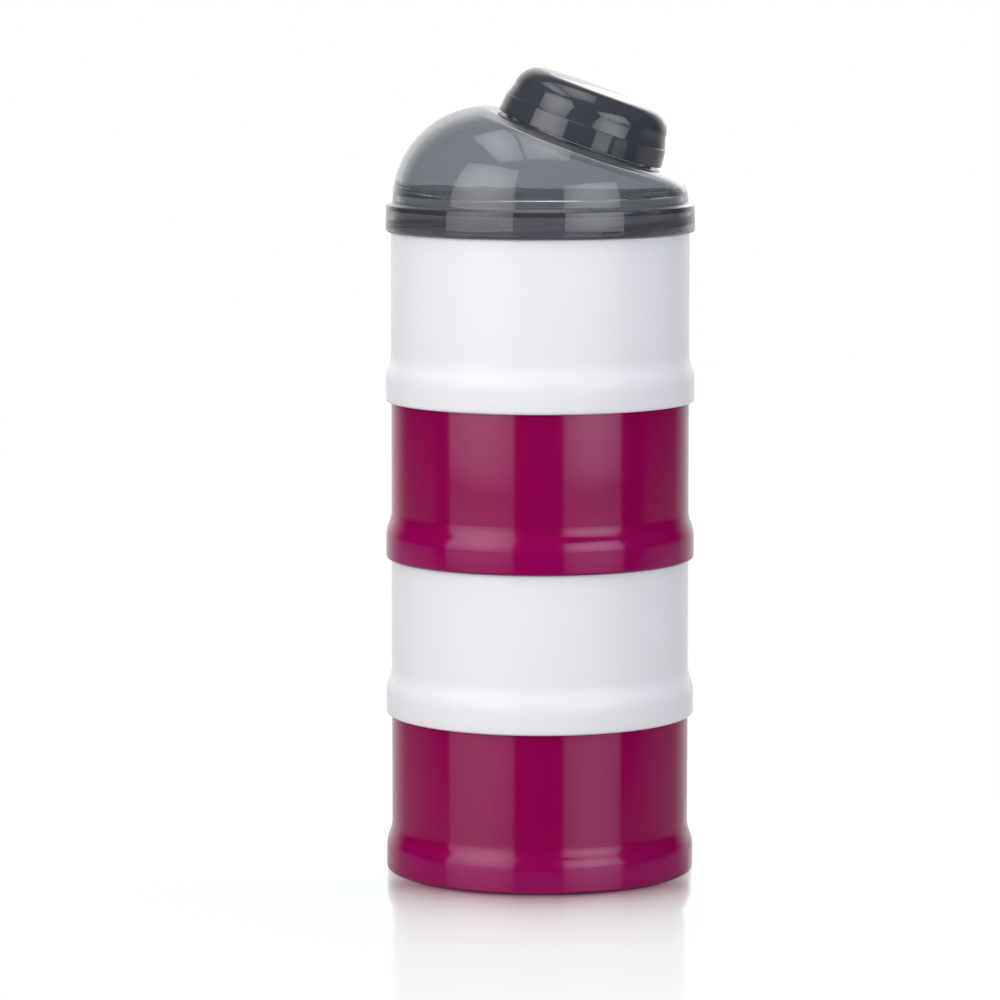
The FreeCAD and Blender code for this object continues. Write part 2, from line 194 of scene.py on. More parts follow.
# ---- the studio: degrees, metres, and radiance where a white surface in full light has 1 ----
CAMERA_AZIMUTH = 6.0
CAMERA_DISTANCE = 1.2125
CAMERA_HEIGHT = 0.2372
CAMERA_PITCH = 6.623
CAMERA_YAW = 0.492
CAMERA_LENS = 168.95
CAMERA_SENSOR = 36.0
FRONT_WAY = (math.sin(math.radians(CAMERA_AZIMUTH)), -math.cos(math.radians(CAMERA_AZIMUTH)), 0)
AMBIENT = 0.56
AMBIENT_COLOUR = (0.98, 0.99, 1.0, 1)

# ---- ramps: from low, from high, to low, to high ----
WORLD_GLOSS = (-0.55, -0.95, 0.0, 1.3)  # the world in gloss, by how far a direction points forward
BOX_FALL = (0.1, 0.65, 1.1, 0.5)        # a softbox's radiance, from its middle to its edge

# ---- the softboxes: azimuth from the camera's, bottom, top, width, radiance, colour, in gloss ----
BOX_DISTANCE = 1.5
SOFTBOXES = {
    "Left softbox": (-46.5, 0.02, 1.66, 1.5, 2.9, (1, 1, 1), True),
    "Right softbox": (41.0, 0.02, 0.86, 1.27, 3.0, (0.93, 0.96, 1.0), True),
    "Back softbox": (180.0, 0.05, 1.3, 1.8, 1.7, (1, 1, 1), False),
    "Rear right softbox": (163.0, 0.25, 1.15, 0.7, 1.0, (1, 1, 1), True),
    "Right fill": (100.0, 0.02, 1.3, 1.0, 0.6, (0.75, 0.86, 1), False),
}
# over the stack: from left to right of it, then the reach from the front to behind it
OVERHEADS = {"Left overhead softbox": (-0.47, -0.17), "Right overhead softbox": (-0.145, 0.3)}
OVERHEAD_REACH = (-0.52, 0.23)
OVERHEAD_HEIGHT = 0.95
OVERHEAD_RADIANCE = 1.8

# ---- the table ----
TABLE_HALF = 6.0
TABLE_ROUGHNESS = 0.08
TABLE_SHADE = 0.45
TABLE_GLOW = 0.5
TABLE_MIRROR = 0.97       # how far the table mirrors the stack, in front of it
TABLE_TINT = (0.85, 1.0, 0.92, 1)
TABLE_FRONT = (0.0, 0.03, 0.0, TABLE_MIRROR)     # a ramp of the mirror, in front of the axis
TABLE_GRAZING = (0.55, 0.75, 0.0, 1.0)           # a ramp of the mirror, to an eye along the table
TABLE_PAINTED_SHADE_IN_GLOSS = (-0.06, 0.18, 0.5, 0.0)            # a ramp of painted shade: the table as the cups' gloss shows it, darker towards the front
TABLE_NEAR = 0.0395       # the table is plain white far outside this radius
TABLE_FADE = 2.0


# ---- outlines, as lists of (radius, height) ----
def arc(centre_r, centre_z, radius, first, last, pieces=6):
    """Points on an arc between two angles in degrees from the outward direction."""
    points = []
    for step in range(pieces + 1):
        turn = math.radians(first + (last - first) * step / pieces)
        points.append((centre_r + radius * math.cos(turn),
                       centre_z + radius * math.sin(turn)))
    return points


def flare():
    """The S-shaped run from a cup's collar in to its wall."""
    step = COLLAR_RADIUS - WALL_RADIUS
    radius = (FLARE_HEIGHT ** 2 + step ** 2) / (4 * step)
    turn = math.degrees(math.asin(FLARE_HEIGHT / 2 / radius))
    lower = arc(COLLAR_RADIUS - radius, FLARE_START, radius, 0, turn, 8)
    upper = arc(WALL_RADIUS + radius, FLARE_START + FLARE_HEIGHT, radius, 180 + turn, 180, 8)
    return lower + upper[1:]


def mouth(foot):
    """The inside of a collar or rim, up to the ring's seat; foot is its height on the cup below."""
    return [(GUIDE_BORE, GUIDE_CHAMFER[1]), (GUIDE_BORE, STEP - foot), (THREAD_BORE, STEP - foot),
            (THREAD_BORE, THREAD_TOP - foot), (SOCKET_RADIUS, CONE_TOP - foot),
            (SOCKET_RADIUS, SEAT - foot)]


def cup_outline():
    """A cup's section, round the outside, down the inside, and back along the socket."""
    outside = arc(COLLAR_RADIUS - COLLAR_ROUND, COLLAR_ROUND, COLLAR_ROUND, -90, 0)
    outside += flare()
    outside += arc(WALL_RADIUS - SHOULDER_ROUND, SHOULDER - SHOULDER_ROUND, SHOULDER_ROUND, 0, 90)
    outside += arc(NECK_RADIUS + NECK_COVE, SHOULDER + NECK_COVE, NECK_COVE, 270, 180, 3)
    outside += arc(NECK_RADIUS - NECK_ROUND, NECK_TOP - NECK_ROUND, NECK_ROUND, 0, 90, 4)
    outside += arc(NECK_BORE + NECK_ROUND, NECK_TOP - NECK_ROUND, NECK_ROUND, 90, 180, 4)
    inside = [(NECK_BORE, SHOULDER - BORE_TAPER[1]), (CUP_BORE, SHOULDER - BORE_TAPER[0])]
    inside += arc(CUP_BORE - FLOOR_ROUND, FLOOR_TOP + FLOOR_ROUND, FLOOR_ROUND, 0, -90, 8)
    inside += [(0, FLOOR_TOP), (0, FLOOR_UNDER)]
    lip_bore = LIP_RADIUS - LIP_WALL
    lip = [(lip_bore, FLOOR_UNDER), (lip_bore, LIP_FOOT + LIP_CHAMFER),
           (lip_bore + LIP_CHAMFER, LIP_FOOT), (LIP_RADIUS - LIP_CHAMFER, LIP_FOOT),
           (LIP_RADIUS, LIP_FOOT + LIP_CHAMFER), (LIP_RADIUS, FLOOR_UNDER)]
    return outside + inside + lip + mouth(CUP_PITCH)[::-1] + [(GUIDE_BORE + GUIDE_CHAMFER[0], 0)]


def cap_side():
    """The cap's rounded side and crown."""
    side_top = CAP_HEIGHT - CAP_CROWN - CAP_ROUND
    flat_radius = CAP_SHOULDER - CAP_ROUND
    points = arc(flat_radius, side_top, CAP_ROUND, 0, 90, 14)
    for share in (0.8, 0.6, 0.4, 0.2, 0.0):
        points.append((flat_radius * share, points[14][1] + CAP_CROWN * (1 - share ** 2)))
    return points


def cap_outline():
    """The cap's section: outside, then back along the inside with the plug and the snap lip."""
    outside = [(CAP_RADIUS - CAP_EDGE, 0), (CAP_RADIUS, CAP_EDGE),
               (CAP_BAND_TOP, CAP_BAND - CAP_BAND_EDGE), (CAP_BAND_TOP - CAP_BAND_EDGE, CAP_BAND),
               (CAP_BAND_TOP - CAP_STEP, CAP_BAND + CAP_BAND_EDGE / 2)]
    outside += cap_side()
    roof = CAP_HEIGHT - CAP_CROWN - CAP_WALL
    plug_bore = PLUG_RADIUS - PLUG_WALL
    inside = [(0, roof), (plug_bore - PLUG_ROOT, roof), (plug_bore, roof - PLUG_ROOT),
              (plug_bore, PLUG_FOOT + 0.3), (plug_bore + 0.3, PLUG_FOOT),
              (PLUG_RADIUS - 0.5, PLUG_FOOT), (PLUG_RADIUS, PLUG_FOOT + 0.6)]
    side_top = CAP_HEIGHT - CAP_CROWN - CAP_ROUND
    inner = arc(CAP_SHOULDER - CAP_ROUND, side_top, CAP_ROUND - CAP_WALL, 0, 62, 8)
    inside += inner[::-1]
    band_bore = CAP_BAND_TOP - CAP_WALL
    inside += [(band_bore, CAP_BAND - CAP_WALL / 2),
               (band_bore, CAP_LIP_HEIGHT + band_bore - CAP_LIP_BORE),
               (CAP_LIP_BORE, CAP_LIP_HEIGHT), (CAP_LIP_BORE, 0.3), (CAP_LIP_BORE + 0.3, 0)]
    return outside + inside


def seal_outline():
    """A sealing ring's section, with softened edges."""
    return (arc(SEAL_RADIUS - SEAL_ROUND, SEAL_ROUND, SEAL_ROUND, -90, 0, 3)
            + arc(SEAL_RADIUS - SEAL_ROUND, SEAL_HEIGHT - SEAL_ROUND, SEAL_ROUND, 0, 90, 3)
            + arc(SEAL_BORE + SEAL_ROUND, SEAL_HEIGHT - SEAL_ROUND, SEAL_ROUND, 90, 180, 3)
            + arc(SEAL_BORE + SEAL_ROUND, SEAL_ROUND, SEAL_ROUND, 180, 270, 3))


# ---- meshes ----
def spin_outline(bm, outline):
    """Turn a closed outline about Z into a bmesh."""
    corners = [bm.verts.new((r * MM, 0, z * MM)) for r, z in outline]
    edges = [bm.edges.new(pair) for pair in zip(corners, corners[1:] + corners[:1])]
    bmesh.ops.spin(bm, geom=corners + edges, cent=(0, 0, 0), axis=(0, 0, 1), angle=2 * math.pi,
                   steps=COLUMNS, use_merge=True)
    bmesh.ops.remove_doubles(bm, verts=bm.verts, dist=SAME_PLACE)


def add_ridge(bm, root_radius, outward, start_z, start_turn, run):
    """One ridge of a screw thread: a section spun along a helix, which fades at both ends."""
    half_root, half_tip = RIDGE_ROOT / 2, RIDGE_TIP / 2
    tip = root_radius + outward * RIDGE_DEPTH
    sunk = root_radius - outward * RIDGE_SINK
    below_tip = tip - outward * 0.2
    section = [(sunk, -half_root), (root_radius, -half_root), (below_tip, -half_tip - 0.15),
               (tip, -half_tip + 0.1), (tip, half_tip - 0.1), (below_tip, half_tip + 0.15),
               (root_radius, half_root), (sunk, half_root)]
    corners = [bm.verts.new((r * MM, 0, (start_z + z) * MM)) for r, z in section]
    turned = Matrix.Rotation(math.radians(start_turn), 3, "Z")
    bmesh.ops.rotate(bm, verts=corners, cent=(0, 0, 0), matrix=turned)
    face = bm.faces.new(corners)
    rise = LEAD * run / 360 / RIDGE_STEPS * MM
    known = set(bm.verts) - set(corners)
    bmesh.ops.spin(bm, geom=[face] + list(face.edges) + corners, cent=(0, 0, 0), axis=(0, 0, 1),
                   dvec=(0, 0, rise), angle=math.radians(run), steps=RIDGE_STEPS)
    for corner in set(bm.verts) - known:
        fade_corner(corner, root_radius, outward, start_turn, run)


def fade_corner(corner, root_radius, outward, start_turn, run):
    """Draw a ridge's corner back to the wall near the ridge's ends."""
    turn = (math.degrees(math.atan2(corner.co.y, corner.co.x)) - start_turn + 1) % 360 - 1
    fade = max(RUN_OUT_LEAST, min(1.0, (turn + 1) / RUN_OUT, (run - turn + 1) / RUN_OUT))
    radius = corner.co.xy.length / MM
    reach = (radius - root_radius) * outward
    if reach > 0:
        corner.co.xy *= (root_radius + outward * reach * fade) / radius


def finish_mesh(bm, name, move=None):
    """Close a bmesh into a smooth object whose sharp edges stay sharp."""
    if move is not None:
        bmesh.ops.transform(bm, matrix=move, verts=bm.verts)
    bmesh.ops.recalc_face_normals(bm, faces=bm.faces)
    mesh = bpy.data.meshes.new(name)
    bm.to_mesh(mesh)
    bm.free()
    mesh.shade_smooth()
    mesh.set_sharp_from_angle(angle=math.radians(SHARP_ANGLE))
    piece = bpy.data.objects.new(name, mesh)
    bpy.context.scene.collection.objects.link(piece)
    return piece


# ---- the lid's skin, ring by ring ----
def crown_depth(point):
    """How far a point lies outside the dome's face, and the face's direction there."""
    radius = math.hypot(point.x, point.y)
    away = Vector((radius - CROWN_RADIUS, point.z - CROWN_HEIGHT))
    if away.y < 0:
        away = Vector((DOME_ROUND, 0)) * (radius - CROWN_RADIUS) / DOME_ROUND
    direction = away.normalized()
    outward = Vector((direction.x * point.x / radius, direction.x * point.y / radius, direction.y))
    return away.length - DOME_ROUND, outward


def rounding_centre(turn):
    """Centre of the rounding between flat and dome at a turn round the spout, and the way out."""
    middle = FLAT_CENTRE - SPOUT_AXIS * FLAT_ROUND
    along = LEAN @ Vector((math.cos(turn), math.sin(turn), 0))
    low, high = SPOUT_RADIUS, 2 * DOME_RADIUS
    while high - low > 1e-4:
        reach = (low + high) / 2
        depth, _ = crown_depth(middle + along * reach)
        if depth < -FLAT_ROUND:
            low = reach
        else:
            high = reach
    centre = middle + along * low
    return centre, crown_depth(centre)[1]


def skin_rings(inset):
    """Rings of points from the spout over the flat, its rounding and the dome down to the ledge."""
    start_radius = SPOUT_RADIUS if inset == 0 else SPOUT_BORE
    radius = FLAT_ROUND - inset
    rings = []
    for column in range(COLUMNS):
        turn = 2 * math.pi * column / COLUMNS
        centre, outward = rounding_centre(turn)
        along = LEAN @ Vector((math.cos(turn), math.sin(turn), 0))
        tube = FLAT_CENTRE - SPOUT_AXIS * inset + along * start_radius
        contact = centre + SPOUT_AXIS * radius
        points = [tube.lerp(contact, share) for share in (0.0, 0.03, 0.5, 0.97)]
        swing = SPOUT_AXIS.angle(outward)
        axle = SPOUT_AXIS.cross(outward).normalized()
        for step in range(ROUNDING_STEPS + 1):
            tilted = Matrix.Rotation(swing * step / ROUNDING_STEPS, 3, axle) @ SPOUT_AXIS
            points.append(centre + tilted * radius)
        heading = math.atan2(centre.y, centre.x)
        slope = math.asin(min(1.0, outward.z))
        for step in range(1, DOME_STEPS + 1):
            angle = slope * (1 - step / DOME_STEPS)
            reach = CROWN_RADIUS + (DOME_ROUND - inset) * math.cos(angle)
            height = CROWN_HEIGHT + (DOME_ROUND - inset) * math.sin(angle)
            points.append(Vector((reach * math.cos(heading), reach * math.sin(heading), height)))
        rings.append(points)
    return [list(ring) for ring in zip(*rings)]


def tube_rings(outline):
    """Rings round the spout's axis for an outline of (radius, height above the flat)."""
    rings = []
    for radius, height in outline:
        ring = []
        for column in range(COLUMNS):
            turn = 2 * math.pi * column / COLUMNS
            point = Vector((radius * math.cos(turn), radius * math.sin(turn), height))
            ring.append(FLAT_CENTRE + LEAN @ point)
        rings.append(ring)
    return rings


def level_rings(outline, headings):
    """Rings round the stack's axis for an outline of (radius, height), a point at each heading."""
    return [[Vector((radius * math.cos(turn), radius * math.sin(turn), height))
             for turn in headings] for radius, height in outline]


def rim_outline():
    """The lid's section below the dome: ledge, rim and mouth, up to the sealing ring's seat."""
    cove = arc(DOME_RADIUS + LEDGE_COVE, LEDGE + LEDGE_COVE, LEDGE_COVE, 180, 270, 5)
    edge = arc(RIM_TOP_RADIUS - RIM_TOP_ROUND, LEDGE - RIM_TOP_ROUND, RIM_TOP_ROUND, 90, 0, 4)
    foot = arc(COLLAR_RADIUS - RIM_ROUND, LID_FOOT + RIM_ROUND, RIM_ROUND, 0, -90, 6)
    inside = [(r, LID_FOOT + z) for r, z in mouth(LID_RISE)]
    return cove + edge + foot + inside + [(LID_SEAT_BORE + SEAT_CHAMFER, LID_SEAT)]


def above_seat(point):
    """A point of the lid's inner face, kept inside the funnel that rises from the seat."""
    height = max(point.z, LID_SEAT + SEAT_CHAMFER)
    widest = LID_SEAT_BORE + (height - LID_SEAT - SEAT_CHAMFER) * SEAT_DEPTH / SEAT_HEIGHT
    shrink = min(1.0, widest / math.hypot(point.x, point.y))
    return Vector((point.x * shrink, point.y * shrink, height))


def spout_outline():
    """The spout's section from its bore over the rim and down the outside to the flat."""
    rim = arc(SPOUT_BORE + SPOUT_ROUND, SPOUT_HEIGHT - SPOUT_ROUND, SPOUT_ROUND, 180, 90, 4)
    rim += arc(SPOUT_RADIUS - SPOUT_ROUND, SPOUT_HEIGHT - SPOUT_ROUND, SPOUT_ROUND, 90, 0, 4)
    bead = [(SPOUT_RADIUS, BEAD_START + BEAD_WIDTH), (BEAD_RADIUS, BEAD_START + 0.6 * BEAD_WIDTH),
            (BEAD_RADIUS, BEAD_START + 0.4 * BEAD_WIDTH), (SPOUT_RADIUS, BEAD_START)]
    return rim + bead


def skin_mesh(bm, rings):
    """Extrude a circle from ring to ring, and join the last ring to the first."""
    made = bmesh.ops.create_circle(bm, segments=len(rings[0]), radius=1.0)
    loop = made["verts"]
    edges = list(bm.edges)
    for corner, point in zip(loop, rings[0]):
        corner.co = point * MM
    first_edges = edges
    for ring in rings[1:]:
        made = bmesh.ops.extrude_edge_only(bm, edges=edges)
        fresh = {item for item in made["geom"] if isinstance(item, bmesh.types.BMVert)}
        edges = [item for item in made["geom"]
                 if isinstance(item, bmesh.types.BMEdge) and set(item.verts) <= fresh]
        loop = [next(edge.other_vert(corner) for edge in corner.link_edges
                     if edge.other_vert(corner) in fresh) for corner in loop]
        for corner, point in zip(loop, ring):
            corner.co = point * MM
    bmesh.ops.bridge_loops(bm, edges=first_edges + edges)


# ---- the pieces ----
def add_inner_ridge(bm, foot, turn):
    """One ridge inside a collar or rim; foot is the height of the foot of the cup below."""
    add_ridge(bm, THREAD_BORE, -1, foot + INNER_RIDGE_START, turn + INNER_RIDGE_TURN,
              INNER_RIDGE_RUN)


def make_cup(number):
    """One cup of the stack, counted from the top."""
    bm = bmesh.new()
    spin_outline(bm, cup_outline())
    for start in range(STARTS):
        turn = 360 // STARTS * start
        add_ridge(bm, NECK_RADIUS, 1, NECK_RIDGE_START, turn, NECK_RIDGE_RUN)
        add_inner_ridge(bm, -CUP_PITCH, turn)
    lift = Matrix.Translation((0, 0, (CUPS - number) * CUP_PITCH * MM))
    piece = finish_mesh(bm, f"dressed_cup_{number}", lift)
    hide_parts(f"cup_{number}")
    return piece


def make_lid():
    """The dome lid with its rim, flat and spout, one closed skin."""
    outer = skin_rings(0)
    inner = skin_rings(LID_WALL)
    headings = [math.atan2(point.y, point.x) for point in outer[-1]]
    rings = tube_rings(spout_outline()) + outer
    rings += level_rings(rim_outline(), headings)
    rings += [[above_seat(point) for point in ring] for ring in inner[::-1]]
    bm = bmesh.new()
    skin_mesh(bm, rings)
    bmesh.ops.remove_doubles(bm, verts=bm.verts, dist=SAME_PLACE)
    for start in range(STARTS):
        add_inner_ridge(bm, LID_FOOT - LID_RISE, 360 // STARTS * start)
    piece = finish_mesh(bm, "dressed_lid")
    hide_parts("lid_dome")
    return piece


def make_cap():
    """The round cap on the spout."""
    bm = bmesh.new()
    spin_outline(bm, cap_outline())
    place = Matrix.Translation((FLAT_CENTRE + SPOUT_AXIS * CAP_GAP) * MM) @ LEAN.to_4x4()
    piece = finish_mesh(bm, "dressed_cap", place)
    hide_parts("spout_cap")
    return piece


def make_seal(node):
    """One sealing ring, where the CAD has it."""
    bm = bmesh.new()
    spin_outline(bm, seal_outline())
    piece = finish_mesh(bm, f"dressed_{node}", Matrix.Translation((0, 0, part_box(node)[0].z)))
    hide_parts(node)
    return piece


# ---- materials ----
def new_material(name):
    """An empty node material and its Principled shader."""
    material = bpy.data.materials.new(name)
    material.use_nodes = True
    return material, material.node_tree, material.node_tree.nodes["Principled BSDF"]


def moulded_group():
    """Moulded plastic: a faint long-wave unevenness of the face and of its gloss."""
    group = bpy.data.node_groups.new("Moulded surface", "ShaderNodeTree")
    face = group.interface
    face.new_socket("Gloss", in_out="INPUT", socket_type="NodeSocketFloat")
    face.new_socket("Gloss spread", in_out="INPUT", socket_type="NodeSocketFloat")
    face.new_socket("Wave size", in_out="INPUT", socket_type="NodeSocketFloat")
    face.new_socket("Roughness", in_out="OUTPUT", socket_type="NodeSocketFloat")
    face.new_socket("Height", in_out="OUTPUT", socket_type="NodeSocketFloat")
    nodes, links = group.nodes, group.links
    inputs = nodes.new("NodeGroupInput")
    outputs = nodes.new("NodeGroupOutput")
    place = nodes.new("ShaderNodeTexCoord")
    wave = nodes.new("ShaderNodeTexNoise")
    wave.inputs["Detail"].default_value = 2.0
    grain = nodes.new("ShaderNodeTexNoise")
    grain.inputs["Scale"].default_value = GRAIN_SIZE
    grain.inputs["Detail"].default_value = 3.0
    links.new(place.outputs["Object"], wave.inputs["Vector"])
    links.new(place.outputs["Object"], grain.inputs["Vector"])
    links.new(inputs.outputs["Wave size"], wave.inputs["Scale"])
    spread = math_node(group, "MULTIPLY", grain.outputs["Fac"], inputs.outputs["Gloss spread"])
    links.new(math_node(group, "ADD", inputs.outputs["Gloss"], spread), outputs.inputs["Roughness"])
    links.new(wave.outputs["Fac"], outputs.inputs["Height"])
    return group


def collar_group():
    """How near a point is to the collar's face, from its distance to the stack's axis."""
    group = bpy.data.node_groups.new("Collar mask", "ShaderNodeTree")
    group.interface.new_socket("Wall radius", in_out="INPUT", socket_type="NodeSocketFloat")
    group.interface.new_socket("Collar radius", in_out="INPUT", socket_type="NodeSocketFloat")
    group.interface.new_socket("Mask", in_out="OUTPUT", socket_type="NodeSocketFloat")
    nodes, links = group.nodes, group.links
    inputs = nodes.new("NodeGroupInput")
    outputs = nodes.new("NodeGroupOutput")
    place = nodes.new("ShaderNodeTexCoord")
    level = nodes.new("ShaderNodeVectorMath")
    level.operation = "MULTIPLY"
    level.inputs[1].default_value = (1, 1, 0)
    links.new(place.outputs["Object"], level.inputs[0])
    length = nodes.new("ShaderNodeVectorMath")
    length.operation = "LENGTH"
    links.new(level.outputs["Vector"], length.inputs[0])
    mask = nodes.new("ShaderNodeMapRange")
    links.new(length.outputs["Value"], mask.inputs["Value"])
    links.new(inputs.outputs["Wall radius"], mask.inputs["From Min"])
    links.new(inputs.outputs["Collar radius"], mask.inputs["From Max"])
    links.new(mask.outputs["Result"], outputs.inputs["Mask"])
    return group


def paint_collar_light_and_shade(material, colour, painted_collar_colour, wall, collar, group):
    """Give the wider parts round the stack, past a wall's radius, a second colour of painted light
    and shade.
    """
    tree = material.node_tree
    shader = tree.nodes["Principled BSDF"]
    mask = tree.nodes.new("ShaderNodeGroup")
    mask.node_tree = group
    mask.inputs["Wall radius"].default_value = (wall + PAINTED_COLLAR_MARGIN[0]) * MM
    mask.inputs["Collar radius"].default_value = (collar - PAINTED_COLLAR_MARGIN[1]) * MM
    mix = tree.nodes.new("ShaderNodeMix")
    mix.data_type = "RGBA"
    mix.inputs["A"].default_value = (*colour, 1)
    mix.inputs["B"].default_value = (*painted_collar_colour, 1)
    tree.links.new(mask.outputs["Mask"], mix.inputs["Factor"])
    tree.links.new(mix.outputs["Result"], shader.inputs["Base Color"])


def moulded_material(name, colour, face, group):
    """Glossy moulded plastic of one colour; face is its roughness, spread, wave size and height."""
    gloss, spread, wave_size, wave_height = face
    material, tree, shader = new_material(name)
    shader.inputs["Base Color"].default_value = (*colour, 1)
    shader.inputs["IOR"].default_value = PLASTIC_IOR
    surface = tree.nodes.new("ShaderNodeGroup")
    surface.node_tree = group
    surface.inputs["Gloss"].default_value = gloss
    surface.inputs["Gloss spread"].default_value = spread
    surface.inputs["Wave size"].default_value = wave_size
    bump = tree.nodes.new("ShaderNodeBump")
    bump.inputs["Strength"].default_value = 1.0
    bump.inputs["Distance"].default_value = wave_height
    tree.links.new(surface.outputs["Roughness"], shader.inputs["Roughness"])
    tree.links.new(surface.outputs["Height"], bump.inputs["Height"])
    tree.links.new(bump.outputs["Normal"], shader.inputs["Normal"])
    return material, shader


def dress(piece, material, body):
    """Give a piece its material and let it ride on its body."""
    piece.data.materials.clear()
    piece.data.materials.append(material)
    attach(piece, body)


# ---- the studio ----
def ramp_node(tree, source, points):
    """A smooth ramp of one value: points is (from low, from high, to low, to high)."""
    ramp = tree.nodes.new("ShaderNodeMapRange")
    ramp.interpolation_type = "SMOOTHSTEP"
    for name, value in zip(("From Min", "From Max", "To Min", "To Max"), points):
        ramp.inputs[name].default_value = value
    tree.links.new(source, ramp.inputs["Value"])
    return ramp.outputs["Result"]


def math_node(tree, operation, first, second):
    """The result of a sum on two values; each is a number or a socket."""
    node = tree.nodes.new("ShaderNodeMath")
    node.operation = operation
    for socket, value in zip(node.inputs, (first, second)):
        if isinstance(value, bpy.types.NodeSocket):
            tree.links.new(value, socket)
        else:
            socket.default_value = value
    return node.outputs[0]


def mix_value(tree, factor, low, high):
    """A value that goes from low to high with the factor; each is a number or a socket."""
    ramp = tree.nodes.new("ShaderNodeMapRange")
    tree.links.new(factor, ramp.inputs["Value"])
    for name, value in (("To Min", low), ("To Max", high)):
        if isinstance(value, bpy.types.NodeSocket):
            tree.links.new(value, ramp.inputs[name])
        else:
            ramp.inputs[name].default_value = value
    return ramp.outputs["Result"]


def seen_directly(tree, path):
    """One where the eye sees a surface, by itself or through glass; path is a Light Path node."""
    return math_node(tree, "MAXIMUM", path.outputs["Is Camera Ray"],
                     path.outputs["Is Transmission Ray"])


def front_value(tree, source):
    """How far a position or direction lies towards the camera's side."""
    front = tree.nodes.new("ShaderNodeVectorMath")
    front.operation = "DOT_PRODUCT"
    front.inputs[1].default_value = FRONT_WAY
    tree.links.new(source, front.inputs[0])
    return front.outputs["Value"]


def world_light():
    """White for the eye and in glass; for gloss, white behind, dark at the sides and in front."""
    world = bpy.data.worlds.new("Studio")
    bpy.context.scene.world = world
    world.use_nodes = True
    tree = world.node_tree
    tree.nodes.clear()
    links = tree.links
    output = tree.nodes.new("ShaderNodeOutputWorld")
    ambient = tree.nodes.new("ShaderNodeBackground")
    ambient.inputs["Color"].default_value = AMBIENT_COLOUR
    ambient.inputs["Strength"].default_value = AMBIENT
    white = tree.nodes.new("ShaderNodeBackground")
    white.inputs["Color"].default_value = (1, 1, 1, 1)
    seen = tree.nodes.new("ShaderNodeBackground")
    place = tree.nodes.new("ShaderNodeTexCoord")
    front = front_value(tree, place.outputs["Generated"])
    links.new(ramp_node(tree, front, WORLD_GLOSS), seen.inputs["Strength"])
    path = tree.nodes.new("ShaderNodeLightPath")
    gloss = tree.nodes.new("ShaderNodeMixShader")
    links.new(path.outputs["Is Glossy Ray"], gloss.inputs["Fac"])
    links.new(ambient.outputs[0], gloss.inputs[1])
    links.new(seen.outputs[0], gloss.inputs[2])
    clear = seen_directly(tree, path)
    last = tree.nodes.new("ShaderNodeMixShader")
    links.new(clear, last.inputs["Fac"])
    links.new(gloss.outputs[0], last.inputs[1])
    links.new(white.outputs[0], last.inputs[2])
    links.new(last.outputs[0], output.inputs["Surface"])


def softbox(name, azimuth, low, high, width, radiance, colour, in_gloss):
    """An upright softbox at an azimuth round the object from the camera's, between two heights."""
    turn = math.radians(CAMERA_AZIMUTH + azimuth)
    middle = Vector((math.sin(turn) * BOX_DISTANCE, -math.cos(turn) * BOX_DISTANCE,
                     (low + high) / 2))
    place = panel(name, middle, width, high - low, radiance, colour)
    place.rotation_euler = Vector((-middle.x, -middle.y, 0)).to_track_quat("-Z", "Y").to_euler()
    place.visible_camera = False
    place.visible_transmission = False
    place.visible_glossy = in_gloss


def overhead(name, left_end, right_end):
    """A level softbox over the stack, between two distances to the camera's right."""
    front_end, back_end = OVERHEAD_REACH
    right = (left_end + right_end) / 2
    away = (front_end + back_end) / 2
    turn = math.radians(CAMERA_AZIMUTH)
    middle = Vector((right * math.cos(turn) - away * math.sin(turn),
                     right * math.sin(turn) + away * math.cos(turn), OVERHEAD_HEIGHT))
    place = panel(name, middle, right_end - left_end, back_end - front_end, OVERHEAD_RADIANCE,
                  (1, 1, 1))
    place.rotation_euler = (0, 0, turn)


def panel(name, middle, width, tall, radiance, colour):
    """A rectangular lamp, a little brighter in its middle than at its edges."""
    lamp = bpy.data.lights.new(name, "AREA")
    lamp.shape = "RECTANGLE"
    lamp.size = width
    lamp.size_y = tall
    lamp.energy = radiance * math.pi * width * tall
    lamp.color = colour
    lamp.use_nodes = True
    tree = lamp.node_tree
    spot = tree.nodes.new("ShaderNodeNewGeometry")
    middle_out = tree.nodes.new("ShaderNodeVectorMath")
    middle_out.operation = "DISTANCE"
    middle_out.inputs[1].default_value = (0.5, 0.5, 0)
    tree.links.new(spot.outputs["Parametric"], middle_out.inputs[0])
    fall = ramp_node(tree, middle_out.outputs["Value"], BOX_FALL)
    tree.links.new(fall, tree.nodes["Emission"].inputs["Strength"])
    place = bpy.data.objects.new(name, lamp)
    place.location = middle
    bpy.context.scene.collection.objects.link(place)
    return place


